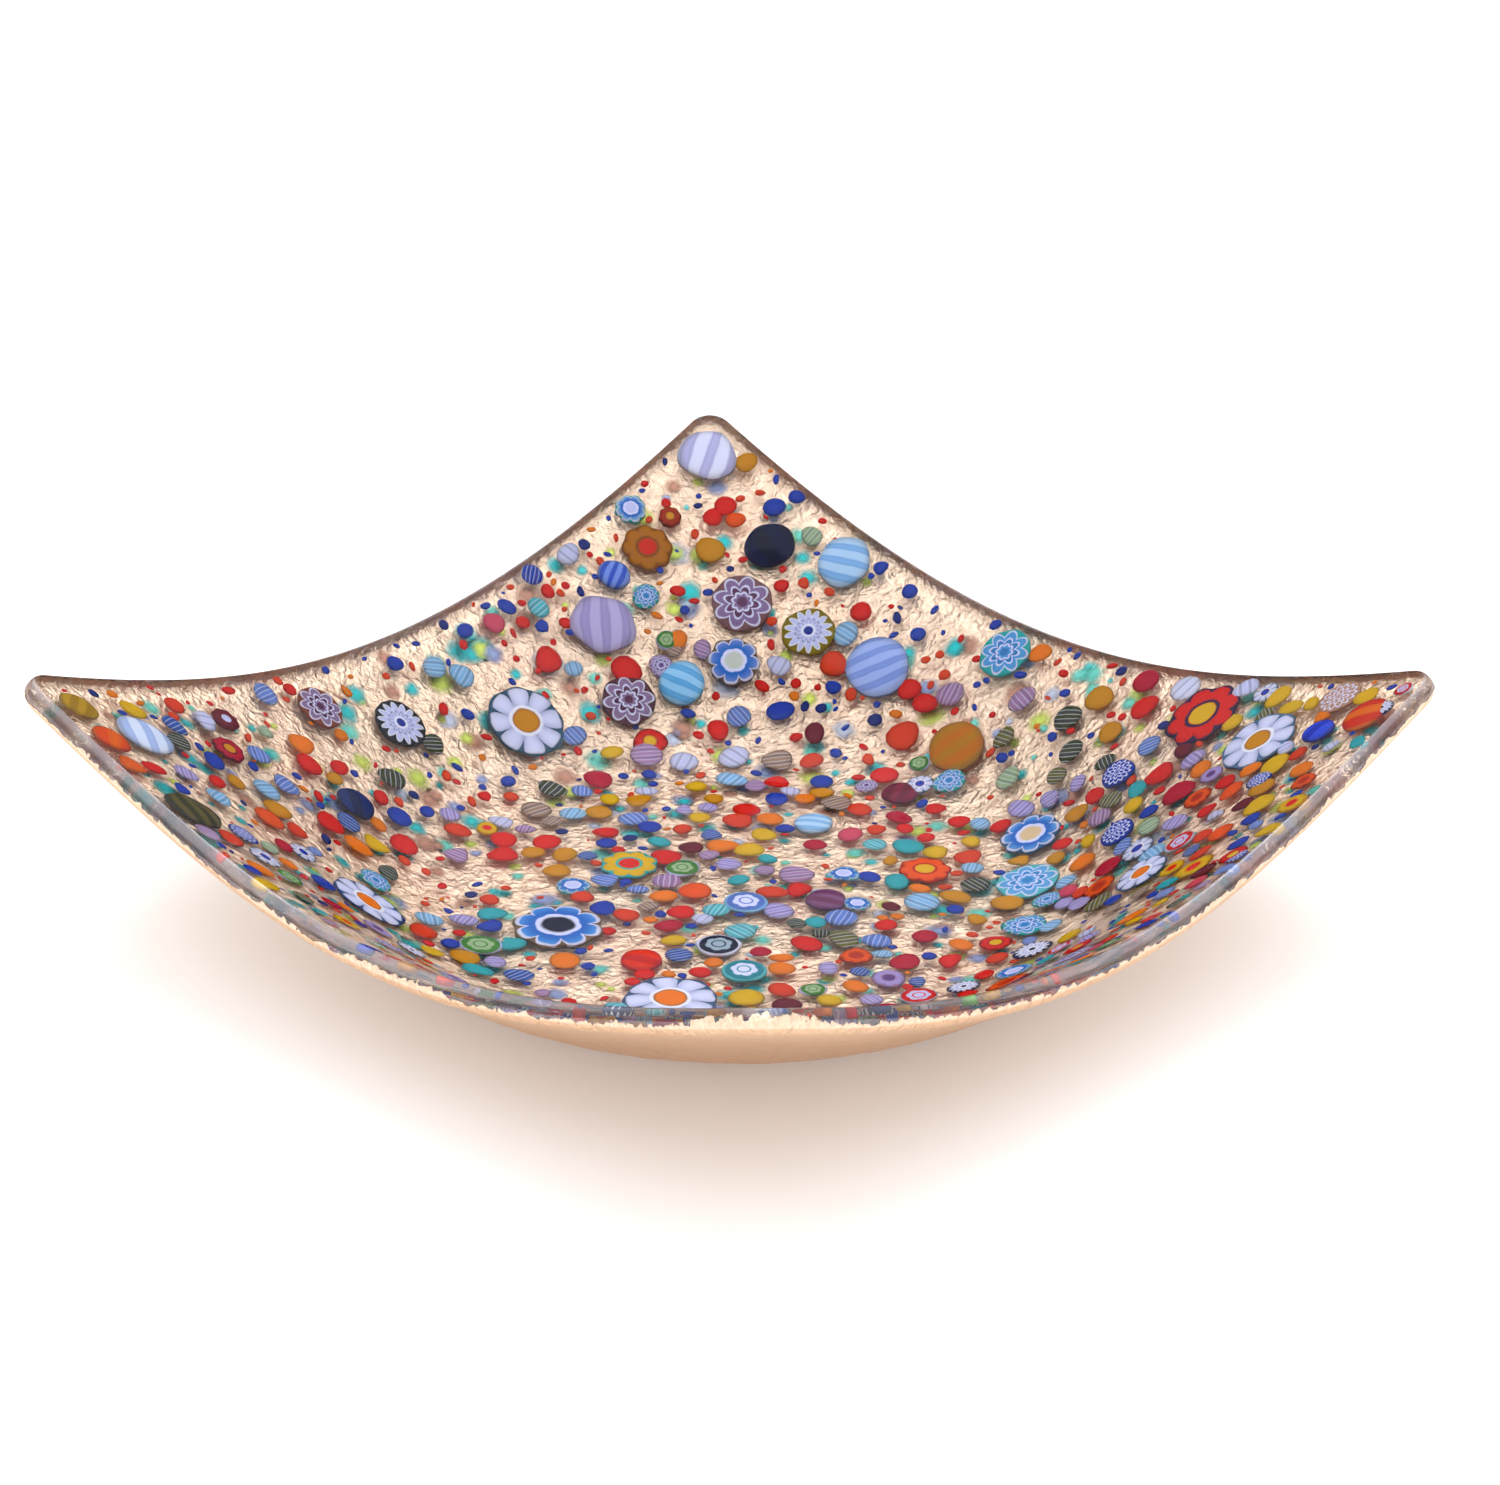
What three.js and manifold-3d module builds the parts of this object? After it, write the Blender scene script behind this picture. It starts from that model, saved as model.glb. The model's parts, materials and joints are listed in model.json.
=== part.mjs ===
// A square fused-glass bowl, made as the real one is: the glass is laid up flat on a square
// blank, with slices and beads of patterned cane let into its face and gold leaf under it,
// and the whole flat layout is then slumped into a bowl.
//
// Sizes are millimetres. The bowl stands on z = 0, the origin is the middle of its flat
// base, and X and Y run along the sides of the square.
import * as THREE from "three";
import { ParametricGeometry } from "three/addons/geometries/ParametricGeometry.js";
import { mergeVertices } from "three/addons/utils/BufferGeometryUtils.js";
import Module from "manifold-3d";

// The flat blank, before it is slumped
const blankSide = 200; // over the corners of the square
const sideBow = 1.6; // how far each side draws in at its middle
const cornerRadius = 5.5;
const glassThickness = 4;

// The slump: distances are measured along the sheet from the middle of the bowl
const floorRadius = 47; // flat up to here
const bendLength = 22; // then the sheet turns up over this length
const wallAngle = THREE.MathUtils.degToRad(36); // slope of the wall where the bend ends
const wallRelax = THREE.MathUtils.degToRad(0.094); // slope lost with each mm up the wall

// Gold leaf, laid under the glass in squares
const leafThickness = 0.25;
const leafGap = 0.2; // between the glass and the leaf
const leafSquare = 64; // side of the middle square; the others run on to the rim
const leafSeam = 0.3; // open seam between two squares
const leafMargin = 2.4; // bare glass left along the rim

// Cane slices and beads, let into the face of the glass
const layoutSide = 200; // the blank that the cane layout is drawn for
const pocketDepth = 1.8;
const pocketClearance = 0.2;
const sliceCrown = 0.25; // how far a slice's middle stands above the glass
const beadCrown = 0.55; // a bead stands higher

// How finely the surfaces are divided
const sideSteps = 14;
const cornerSteps = 4;
const bendSteps = 5;
const wallSteps = 5;
const rimSteps = 5;

const floorHeight = leafThickness + leafGap + glassThickness; // the glass face, at the middle

const wasm = await Module();
wasm.setup();

// ---- The slump ----

const bendRadius = bendLength / wallAngle;
const bendEnd = floorRadius + bendLength;

// The slumped profile at a distance along the sheet: radius, height and slope of the face.
function profile(distance) {
  if (distance <= floorRadius) return { radius: distance, height: 0, slope: 0 };
  const slope = Math.min((distance - floorRadius) / bendRadius, wallAngle);
  const radius = floorRadius + bendRadius * Math.sin(slope);
  const height = bendRadius * (1 - Math.cos(slope));
  if (distance <= bendEnd) return { radius, height, slope };
  const relaxed = wallAngle - wallRelax * (distance - bendEnd);
  return {
    radius: radius + (Math.sin(wallAngle) - Math.sin(relaxed)) / wallRelax,
    height: height + (Math.cos(relaxed) - Math.cos(wallAngle)) / wallRelax,
    slope: relaxed,
  };
}

// Moves a point of the flat layout, whose z is its height over the face, onto the bowl.
function slumpPoint(point) {
  const distance = Math.hypot(point.x, point.y);
  const { radius, height, slope } = profile(distance);
  const outwards = (radius - point.z * Math.sin(slope)) / (distance || 1);
  return point.set(
    point.x * outwards,
    point.y * outwards,
    floorHeight + height + point.z * Math.cos(slope),
  );
}

function slump(geometry) {
  const positions = geometry.getAttribute("position");
  const point = new THREE.Vector3();
  for (let i = 0; i < positions.count; i++) {
    slumpPoint(point.fromBufferAttribute(positions, i));
    positions.setXYZ(i, point.x, point.y, point.z);
  }
  return geometry;
}

// ---- Solids ----

function toSolid(geometry) {
  const bare = geometry.clone();
  bare.deleteAttribute("normal");
  bare.deleteAttribute("uv");
  const merged = mergeVertices(bare, 1e-4);
  return new wasm.Manifold(
    new wasm.Mesh({
      numProp: 3,
      vertProperties: new Float32Array(merged.getAttribute("position").array),
      triVerts: new Uint32Array(merged.index.array),
    }),
  );
}

function toGeometry(solid) {
  const mesh = solid.getMesh();
  const geometry = new THREE.BufferGeometry();
  geometry.setAttribute("position", new THREE.BufferAttribute(mesh.vertProperties, 3));
  geometry.setIndex(new THREE.BufferAttribute(mesh.triVerts, 1));
  geometry.computeVertexNormals();
  return geometry;
}

// ---- The blank's outline ----

// The four bowed sides and the four round corners, walked once round, counter-clockwise.
function blankOutline() {
  const half = blankSide / 2;
  const straight = half - cornerRadius;
  const quarter = [];
  for (let i = 0; i < sideSteps; i++) {
    const along = -straight + (2 * straight * i) / sideSteps;
    const drawnIn = sideBow * (1 - (along / straight) ** 2);
    quarter.push(new THREE.Vector2(half - drawnIn, along));
  }
  for (let i = 0; i < cornerSteps; i++) {
    const turn = ((Math.PI / 2) * i) / cornerSteps;
    quarter.push(
      new THREE.Vector2(
        straight + cornerRadius * Math.cos(turn),
        straight + cornerRadius * Math.sin(turn),
      ),
    );
  }
  const centre = new THREE.Vector2();
  return [0, 1, 2, 3].flatMap((side) =>
    quarter.map((point) => point.clone().rotateAround(centre, (side * Math.PI) / 2)),
  );
}

const outline = blankOutline();

// A closed sheet between two depths under the face, stopping at an inset from the outline,
// with its edge rounded over rimSteps, or square if there is just one step.
function sheet(upperDepth, lowerDepth, inset, edgeSteps) {
  const round = edgeSteps > 1 ? (lowerDepth - upperDepth) / 2 : 0;
  const middle = (upperDepth + lowerDepth) / 2;
  const rings = [];
  const addFace = (depth) => {
    const face = [{ distance: () => 0, depth }];
    for (let i = 0; i <= bendSteps; i++) {
      const distance = floorRadius + (bendLength * i) / bendSteps;
      face.push({ distance: () => distance, depth });
    }
    for (let i = 1; i < wallSteps; i++) {
      const share = i / wallSteps;
      face.push({ distance: (edge) => bendEnd + share * (edge - leafMargin - bendEnd), depth });
    }
    return face;
  };
  rings.push(...addFace(upperDepth));
  for (let i = 0; i <= edgeSteps; i++) {
    const turn = Math.PI * (0.5 - i / edgeSteps);
    const drawnIn = inset + round * (1 - Math.cos(turn));
    const depth = edgeSteps > 1 ? middle - round * Math.sin(turn) : i ? lowerDepth : upperDepth;
    rings.push({ distance: (edge) => edge - drawnIn, depth });
  }
  rings.push(...addFace(lowerDepth).reverse());

  const place = (u, v, target) => {
    const point = outline[Math.round((1 - u) * outline.length) % outline.length];
    const ring = rings[Math.round(v * (rings.length - 1))];
    const edge = point.length();
    const share = ring.distance(edge) / edge;
    slumpPoint(target.set(point.x * share, point.y * share, -ring.depth));
  };
  return toSolid(new ParametricGeometry(place, outline.length, rings.length - 1));
}

// ---- Cane slices and beads ----

// The kinds of cane: how many petals or points the cut end has, how deep they are, and how
// many steps its edge takes.
const kinds = {
  daisy: { petals: 8, cut: 0.07, steps: 32, crown: sliceCrown },
  flower: { petals: 8, cut: 0.09, steps: 32, crown: sliceCrown },
  star: { petals: 8, cut: 0.05, steps: 24, crown: sliceCrown },
  sunburst: { petals: 14, cut: 0.06, steps: 28, crown: sliceCrown },
  disc: { petals: 0, cut: 0, steps: 16, crown: sliceCrown },
  bead: { petals: 0, cut: 0, steps: 16, crown: beadCrown },
};

const colours = {
  white: 0xd9dbe8,
  sky: 0x7fb9dc,
  blue: 0x2f4fb8,
  navy: 0x131a3a,
  red: 0xc81414,
  orange: 0xe0530c,
  yellow: 0xd0a010,
  purple: 0x8d7bb0,
  olive: 0x6f6a30,
  tan: 0xb08a70,
};

// A disc lying flat on the layout, between a depth under the face and a crown. The crown
// gives the height of its upper side at shares of the radius, from the edge to the middle.
function caneDisc({ kind, x, y }, radius, depth, crown) {
  const spread = blankSide / layoutSide;
  const { petals, cut, steps } = kinds[kind];
  const points = [new THREE.Vector2(0, -depth), new THREE.Vector2(radius, -depth)];
  for (const [share, height] of crown) points.push(new THREE.Vector2(radius * share, height));
  const disc = new THREE.LatheGeometry(points, steps).rotateX(Math.PI / 2);
  const positions = disc.getAttribute("position");
  for (let i = 0; i < positions.count; i++) {
    const angle = Math.atan2(positions.getY(i), positions.getX(i));
    const petal = 1 - cut * (0.5 - 0.5 * Math.cos(petals * angle));
    positions.setX(i, positions.getX(i) * petal);
    positions.setY(i, positions.getY(i) * petal);
  }
  return slump(disc.translate(x * spread, y * spread, 0));
}

// The layout grows with the blank, pieces and all, so that the pieces stay clear of each
// other and of the rim.
function caneRadius(cane) {
  return (cane.diameter / 2) * (blankSide / layoutSide);
}

function canePiece(cane) {
  const height = kinds[cane.kind].crown;
  const flat = [[1, 0], [0, height]];
  const domed = [[1, 0], [0.6, height * 0.7], [0, height]];
  return caneDisc(cane, caneRadius(cane), pocketDepth, cane.kind === "bead" ? domed : flat);
}

// The pocket reaches over the face, so that the cut comes out clean.
function canePocket(cane) {
  const over = [[1, glassThickness], [0, glassThickness]];
  const radius = caneRadius(cane) + pocketClearance;
  return caneDisc(cane, radius, pocketDepth + pocketClearance, over);
}

// Where the maker laid each piece of cane on the flat blank
const canes = [
  { name: "daisy_white_back", kind: "daisy", colour: "white", x: 15, y: 69, diameter: 16 },
  { name: "daisy_white_right", kind: "daisy", colour: "white", x: 80, y: -68, diameter: 16 },
  { name: "daisy_white_left", kind: "daisy", colour: "white", x: -59, y: 36, diameter: 15 },
  { name: "daisy_white_front", kind: "daisy", colour: "white", x: -37, y: -20, diameter: 17 },
  { name: "daisy_white_small", kind: "daisy", colour: "white", x: 42, y: -66, diameter: 11 },
  { name: "daisy_blue_floor", kind: "daisy", colour: "sky", x: -31, y: 14, diameter: 17 },
  { name: "flower_red_right", kind: "flower", colour: "red", x: 87, y: -48, diameter: 16 },
  { name: "flower_yellow_floor", kind: "flower", colour: "yellow", x: -4, y: 22, diameter: 11 },
  { name: "flower_yellow_front", kind: "flower", colour: "yellow", x: -22, y: -82, diameter: 12 },
  { name: "flower_ochre_back", kind: "flower", colour: "yellow", x: 64, y: 84, diameter: 11 },
  { name: "flower_orange_floor", kind: "flower", colour: "orange", x: 33, y: -19, diameter: 10 },
  { name: "flower_blue_back", kind: "flower", colour: "sky", x: 58, y: 53, diameter: 11 },
  { name: "flower_blue_floor", kind: "flower", colour: "sky", x: 54, y: -27, diameter: 12 },
  { name: "flower_sky_edge", kind: "flower", colour: "sky", x: 68, y: 93, diameter: 7 },
  { name: "flower_red_back", kind: "flower", colour: "red", x: 73, y: 86, diameter: 5 },
  { name: "flower_red_left", kind: "flower", colour: "red", x: -60, y: 79, diameter: 7 },
  { name: "flower_crimson_left", kind: "flower", colour: "red", x: -54, y: 87, diameter: 6 },
  { name: "wave_aqua_right", kind: "star", colour: "sky", x: 90, y: 7, diameter: 11 },
  { name: "wave_sky_floor", kind: "star", colour: "sky", x: 41, y: -37, diameter: 12 },
  { name: "star_purple_back", kind: "star", colour: "purple", x: 69, y: 61, diameter: 13 },
  { name: "star_purple_middle", kind: "star", colour: "purple", x: 36, y: 61, diameter: 11 },
  { name: "star_purple_left", kind: "star", colour: "purple", x: -27, y: 87, diameter: 10 },
  { name: "star_purple_front", kind: "star", colour: "purple", x: -76, y: -24, diameter: 12 },
  { name: "sunburst_left", kind: "sunburst", colour: "white", x: -11, y: 79, diameter: 11 },
  { name: "sunburst_back", kind: "sunburst", colour: "white", x: 73, y: 46, diameter: 11 },
  { name: "lace_tan_corner", kind: "disc", colour: "tan", x: 92, y: -80, diameter: 9 },
  { name: "lace_cobalt_right", kind: "disc", colour: "blue", x: 71, y: -37, diameter: 7 },
  { name: "lace_cobalt_floor", kind: "disc", colour: "blue", x: 56, y: -48, diameter: 7 },
  { name: "ring_navy_floor", kind: "disc", colour: "navy", x: -16, y: -12, diameter: 8 },
  { name: "ring_aqua_floor", kind: "disc", colour: "sky", x: -20, y: -22, diameter: 8 },
  { name: "ring_white_floor", kind: "disc", colour: "white", x: 0, y: -4, diameter: 8 },
  { name: "bead_pearl_corner", kind: "bead", colour: "white", x: 90, y: 91, diameter: 13 },
  { name: "bead_lilac_back", kind: "bead", colour: "purple", x: 44, y: 77, diameter: 14 },
  { name: "bead_sky_middle", kind: "bead", colour: "sky", x: 47, y: 57, diameter: 10 },
  { name: "bead_periwinkle_back", kind: "bead", colour: "sky", x: 75, y: 29, diameter: 14 },
  { name: "bead_sky_back", kind: "bead", colour: "sky", x: 90, y: 51, diameter: 12 },
  { name: "bead_navy_back", kind: "bead", colour: "navy", x: 83, y: 66, diameter: 11 },
  { name: "bead_olive_floor", kind: "bead", colour: "olive", x: 68, y: 3, diameter: 12 },
  { name: "bead_sky_left", kind: "bead", colour: "sky", x: -81, y: 82, diameter: 12 },
  { name: "bead_orange_corner", kind: "bead", colour: "orange", x: 86, y: -91, diameter: 10 },
  { name: "bead_olive_left", kind: "bead", colour: "olive", x: -89, y: 58, diameter: 12 },
  { name: "bead_orange_left", kind: "bead", colour: "orange", x: -92, y: 80, diameter: 8 },
  { name: "bead_yellow_left", kind: "bead", colour: "yellow", x: -92, y: 90, diameter: 8 },
  { name: "bead_blue_back", kind: "bead", colour: "blue", x: 54, y: 84, diameter: 7 },
  { name: "bead_navy_left", kind: "bead", colour: "navy", x: -36, y: 64, diameter: 8 },
  { name: "bead_plum_floor", kind: "bead", colour: "purple", x: 11, y: -14, diameter: 8 },
  { name: "bead_crimson_floor", kind: "bead", colour: "red", x: 53, y: 5, diameter: 7 },
  { name: "bead_red_floor", kind: "bead", colour: "red", x: -30, y: -6, diameter: 8 },
  { name: "bead_blue_right", kind: "bead", colour: "blue", x: 82, y: -82, diameter: 7 },
  { name: "bead_sky_floor", kind: "bead", colour: "sky", x: 33, y: 9, diameter: 8 },
];

// ---- Assembly ----

const bowl = new THREE.Group();

function addMesh(name, geometry, material) {
  const mesh = new THREE.Mesh(geometry, material);
  mesh.name = name;
  bowl.add(mesh);
}

const clearGlass = new THREE.MeshStandardMaterial({
  color: 0xe9f1f0,
  roughness: 0.04,
  metalness: 0,
  transparent: true,
  opacity: 0.35,
});
const goldLeaf = new THREE.MeshStandardMaterial({ color: 0xe8bd84, roughness: 0.35, metalness: 1 });

let glass = sheet(0, glassThickness, 0, rimSteps);
for (const cane of canes) glass = glass.subtract(toSolid(canePocket(cane)));
addMesh("glass_sheet", toGeometry(glass), clearGlass);

// The leaf is one thin sheet cut along its seams into three rows of three. The middle
// square keeps its size, and the ones around it run on past the blank, which trims them.
const leafTop = glassThickness + leafGap;
const leafSheet = sheet(leafTop, leafTop + leafThickness, leafMargin, 1);
const middleSpan = leafSquare - leafSeam;
const outerSpan = blankSide;
const outerPlace = (leafSquare + leafSeam + outerSpan) / 2;
const rows = { front: -1, middle: 0, back: 1 };
const columns = { left: -1, middle: 0, right: 1 };
for (const [rowName, row] of Object.entries(rows)) {
  for (const [columnName, column] of Object.entries(columns)) {
    const square = new THREE.BoxGeometry(
      column ? outerSpan : middleSpan,
      row ? outerSpan : middleSpan,
      blankSide,
    ).translate(column * outerPlace, row * outerPlace, 0);
    const leaf = leafSheet.intersect(toSolid(square));
    addMesh(`gold_leaf_${rowName}_${columnName}`, toGeometry(leaf), goldLeaf);
  }
}

for (const cane of canes) {
  const material = new THREE.MeshStandardMaterial({
    color: colours[cane.colour],
    roughness: 0.15,
    metalness: 0,
  });
  addMesh(cane.name, canePiece(cane), material);
}

export default bowl;
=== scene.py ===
# %% [markdown]
# # A fused-glass bowl with gold leaf and patterned cane
#
# The real bowl is made flat. Its maker lays slices and beads of patterned glass cane, chips
# and grains on a square of clear glass, with gold leaf underneath, fuses it all in a kiln,
# and then lets the flat sheet slump into a mould. The lesson follows that order: every
# piece is laid out flat, in millimetres, and one function slumps them all.

# %% Load the frame
import json
import math

import bpy
import numpy as np
from mathutils import Matrix, Vector


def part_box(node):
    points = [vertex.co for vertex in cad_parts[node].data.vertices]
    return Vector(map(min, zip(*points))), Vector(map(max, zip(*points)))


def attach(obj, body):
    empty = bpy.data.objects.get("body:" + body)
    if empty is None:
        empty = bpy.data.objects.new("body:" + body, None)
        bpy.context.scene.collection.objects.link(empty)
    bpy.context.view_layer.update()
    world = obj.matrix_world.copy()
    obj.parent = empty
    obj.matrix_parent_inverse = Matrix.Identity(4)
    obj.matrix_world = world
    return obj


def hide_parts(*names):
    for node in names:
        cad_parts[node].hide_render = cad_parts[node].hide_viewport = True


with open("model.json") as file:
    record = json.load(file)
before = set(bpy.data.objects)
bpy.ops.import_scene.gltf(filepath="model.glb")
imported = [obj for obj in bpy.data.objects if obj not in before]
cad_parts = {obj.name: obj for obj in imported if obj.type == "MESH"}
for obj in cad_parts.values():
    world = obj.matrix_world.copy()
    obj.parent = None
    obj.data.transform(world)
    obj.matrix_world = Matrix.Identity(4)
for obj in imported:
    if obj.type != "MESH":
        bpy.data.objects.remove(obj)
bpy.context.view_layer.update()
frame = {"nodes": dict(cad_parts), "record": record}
print("frame nodes:", len(frame["nodes"]))

# %% [markdown]
# ## The slump
#
# A kiln mould with a flat round floor and sloping sides bends the sheet in one direction
# only, outwards from its middle, so a profile is enough: how far out and how high a point
# of the sheet ends up, and how steep the sheet is there. It could be drawn as a curve, but
# a formula keeps every piece, thick or thin, on exactly the same bend.

# %% The slump of a flat layout
MM = 0.001
FLOOR_RADIUS = 47.0
BEND_LENGTH = 22.0
WALL_ANGLE = math.radians(36)
WALL_RELAX = math.radians(0.094)
FACE_HEIGHT = 4.45
BEND_RADIUS = BEND_LENGTH / WALL_ANGLE
BEND_END = FLOOR_RADIUS + BEND_LENGTH


def profile(distance):
    """Radius, height and slope of the face at a distance along the sheet: straight on the
    floor, then a circular arc, then a wall whose slope relaxes evenly."""
    slope = np.clip((distance - FLOOR_RADIUS) / BEND_RADIUS, 0, WALL_ANGLE)
    radius = np.minimum(distance, FLOOR_RADIUS) + BEND_RADIUS * np.sin(slope)
    height = BEND_RADIUS * (1 - np.cos(slope))
    relaxed = WALL_ANGLE - WALL_RELAX * np.maximum(distance - BEND_END, 0)
    radius = radius + (np.sin(WALL_ANGLE) - np.sin(relaxed)) / WALL_RELAX
    height = height + (np.cos(relaxed) - np.cos(WALL_ANGLE)) / WALL_RELAX
    return radius, height, np.where(distance > BEND_END, relaxed, slope)


def slump(x, y, lift):
    """Points in metres: each flat point goes to its place on the profile, and its lift, the
    height over the face, is laid off square to the slumped face."""
    distance = np.hypot(x, y)
    radius, height, slope = profile(distance)
    outward = (radius - lift * np.sin(slope)) / np.maximum(distance, 1e-6)
    up = FACE_HEIGHT + height + lift * np.cos(slope)
    return np.stack([x * outward, y * outward, up], axis=-1) * MM


table_distance = np.linspace(0, 150, 1501)
table_radius = profile(table_distance)[0]


def seat(node):
    """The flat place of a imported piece: the middle of its box, taken back up the profile."""
    low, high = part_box(node)
    x, y = (low[0] + high[0]) / 2 / MM, (low[1] + high[1]) / 2 / MM
    radius = math.hypot(x, y)
    spread = float(np.interp(radius, table_radius, table_distance)) / max(radius, 1e-6)
    return x * spread, y * spread


print("wall height at the middle of a side:", round(float(profile(98.4)[1]), 1), "mm")

# %% [markdown]
# ## Meshes from grids
#
# Almost every piece is a stack of closed rings between two poles: the sheet of glass, a
# slice of cane, a bead, a chip. One helper turns such a stack into a mesh. The pieces could
# be lathed or extruded and then bent, but computing the points keeps their seams closed.

# %% Mesh helpers
def ring_faces(rings, columns):
    """Faces of rings joined one to the next, with a single point closing each end."""
    around = np.arange(columns)
    nxt = (around + 1) % columns
    start = 1 + np.arange(rings - 1)[:, None] * columns
    quads = np.stack(
        [start + around, start + nxt, start + columns + nxt, start + columns + around], -1
    ).reshape(-1, 4)
    last = 1 + (rings - 1) * columns
    first_fan = np.stack([np.zeros_like(around), nxt + 1, around + 1], -1)
    last_fan = np.stack([np.full_like(around, last + columns), last + around, last + nxt], -1)
    return quads, np.concatenate([first_fan, last_fan])


def build_mesh(name, points, quads, tris, material, uv=None, tint=None, open_edge=False):
    """A piece from whole arrays of points and faces, riding on the bowl. On an open skin the
    edges with one face are kept sharp, for the wall that Solidify adds there."""
    mesh = bpy.data.meshes.new(name)
    mesh.vertices.add(len(points))
    mesh.vertices.foreach_set("co", np.asarray(points, np.float32).ravel())
    corners = np.concatenate([quads.ravel(), tris.ravel()]).astype(np.int32)
    counts = np.concatenate([np.full(len(quads), 4), np.full(len(tris), 3)])
    starts = np.concatenate([[0], np.cumsum(counts)[:-1]]).astype(np.int32)
    mesh.loops.add(len(corners))
    mesh.loops.foreach_set("vertex_index", corners)
    mesh.polygons.add(len(counts))
    mesh.polygons.foreach_set("loop_start", starts)
    if uv is not None:
        layer = mesh.uv_layers.new(name="cane")
        layer.uv.foreach_set("vector", np.asarray(uv, np.float32)[corners].ravel())
    if tint is not None:
        colour = mesh.color_attributes.new("tint", "FLOAT_COLOR", "POINT")
        colour.data.foreach_set("color", np.asarray(tint, np.float32).ravel())
    mesh.update(calc_edges=True)
    mesh.validate()
    mesh.shade_smooth()
    if open_edge:
        edge_of = np.empty(len(mesh.loops), np.int32)
        mesh.loops.foreach_get("edge_index", edge_of)
        sharp = mesh.attributes.new("sharp_edge", "BOOLEAN", "EDGE")
        sharp.data.foreach_set("value", np.bincount(edge_of, minlength=len(mesh.edges)) == 1)
    mesh.materials.append(material)
    piece = bpy.data.objects.new(name, mesh)
    bpy.context.scene.collection.objects.link(piece)
    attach(piece, "root")
    return piece


# %% [markdown]
# ## Writing materials as sums
#
# A material is a small drawing made of numbers: how far from the middle of a slice, at
# what angle, how wide a petal is there. Wiring that by hand takes dozens of nodes, so a
# small class lets a socket be added, multiplied and compared like a number.

# %% Shader helpers
def paint(code):
    """A linear colour from a hex code as a paint chart gives it."""
    levels = [int(code[i : i + 2], 16) / 255 for i in (0, 2, 4)]
    linear = [v / 12.92 if v <= 0.04045 else ((v + 0.055) / 1.055) ** 2.4 for v in levels]
    return (*linear, 1.0)


class Wire:
    """One output of a node. Arithmetic on it adds Math nodes to its material."""

    def __init__(self, glaze, socket):
        self.glaze, self.socket = glaze, socket

    def math(self, operation, *values):
        return self.glaze.node("ShaderNodeMath", {"operation": operation}, values)

    def __add__(self, other):
        return self.math("ADD", self, other)

    def __sub__(self, other):
        return self.math("SUBTRACT", self, other)

    def __rsub__(self, other):
        return self.math("SUBTRACT", other, self)

    def __mul__(self, other):
        return self.math("MULTIPLY", self, other)

    def __pow__(self, other):
        return self.math("POWER", self, other)

    def __abs__(self):
        return self.math("ABSOLUTE", self)

    __radd__, __rmul__ = __add__, __mul__

    def cos(self):
        return self.math("COSINE", self)

    def below(self, limit, soft):
        """1 where this is under the limit, falling smoothly to 0 over the soft width."""
        edge = {"interpolation_type": "SMOOTHSTEP"}
        over = self - limit
        return self.glaze.node("ShaderNodeMapRange", edge, (over, -soft / 2, soft / 2, 1, 0))


class Glaze:
    """A material under construction: a Principled shader and the nodes that feed it."""

    def __init__(self, name, **settings):
        self.material = bpy.data.materials.new(name)
        self.material.use_nodes = True
        self.tree = self.material.node_tree
        self.shader = self.tree.nodes["Principled BSDF"]
        self.set(**settings)

    def set(self, **settings):
        for name, value in settings.items():
            socket = self.shader.inputs[name.replace("_", " ")]
            if isinstance(value, Wire):
                self.tree.links.new(value.socket, socket)
            else:
                socket.default_value = value
        return self.material

    def surface(self, shader):
        """Puts another shader in the place of the Principled one."""
        self.tree.nodes.remove(self.shader)
        self.tree.links.new(shader.socket, self.tree.nodes["Material Output"].inputs["Surface"])

    def node(self, kind, settings=None, values=(), output=0):
        node = self.tree.nodes.new(kind)
        for name, value in (settings or {}).items():
            setattr(node, name, value)
        pairs = values.items() if isinstance(values, dict) else enumerate(values)
        for key, value in pairs:
            if isinstance(value, Wire):
                self.tree.links.new(value.socket, node.inputs[key])
            elif value is not None:
                node.inputs[key].default_value = value
        return Wire(self, node.outputs[output])

    def mix(self, factor, a, b):
        return self.node("ShaderNodeMix", {"data_type": "RGBA"}, {0: factor, 6: a, 7: b}, 2)

    def place(self):
        """Where a point is on the bowl, in metres."""
        return self.node("ShaderNodeTexCoord", output="Object")

    def noise(self, vector, scale, detail=2.0, output="Fac", stretch=(1, 1, 1), distortion=0.0):
        if stretch != (1, 1, 1):
            vector = self.node("ShaderNodeVectorMath", {"operation": "MULTIPLY"}, (vector, stretch))
        values = {"Vector": vector, "Scale": scale, "Detail": detail, "Distortion": distortion}
        return self.node("ShaderNodeTexNoise", values=values, output=output)

    def bump(self, height, strength, distance):
        values = {"Strength": strength, "Distance": distance, "Height": height}
        return self.node("ShaderNodeBump", values=values)

    def on_slice(self, wobble=0.1, scale=300):
        """Distance from the middle of a slice, 1 at its edge, and the angle round it. A
        little noise moves both, because hot cane is pulled and pressed out of true."""
        uv = self.node("ShaderNodeUVMap", {"uv_map": "cane"})
        shake = self.noise(self.place(), scale, output="Color")
        shake = self.node(
            "ShaderNodeVectorMath", {"operation": "MULTIPLY_ADD"},
            (shake, (wobble,) * 3, (-wobble / 2,) * 3),
        )
        moved = self.node("ShaderNodeVectorMath", {"operation": "ADD"}, (uv, shake))
        split = self.node("ShaderNodeSeparateXYZ", values=(moved,))
        across, along = split, Wire(self, split.socket.node.outputs[1])
        radius = (across * across + along * along) ** 0.5
        return radius, along.math("ARCTAN2", along, across), across, along


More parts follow.
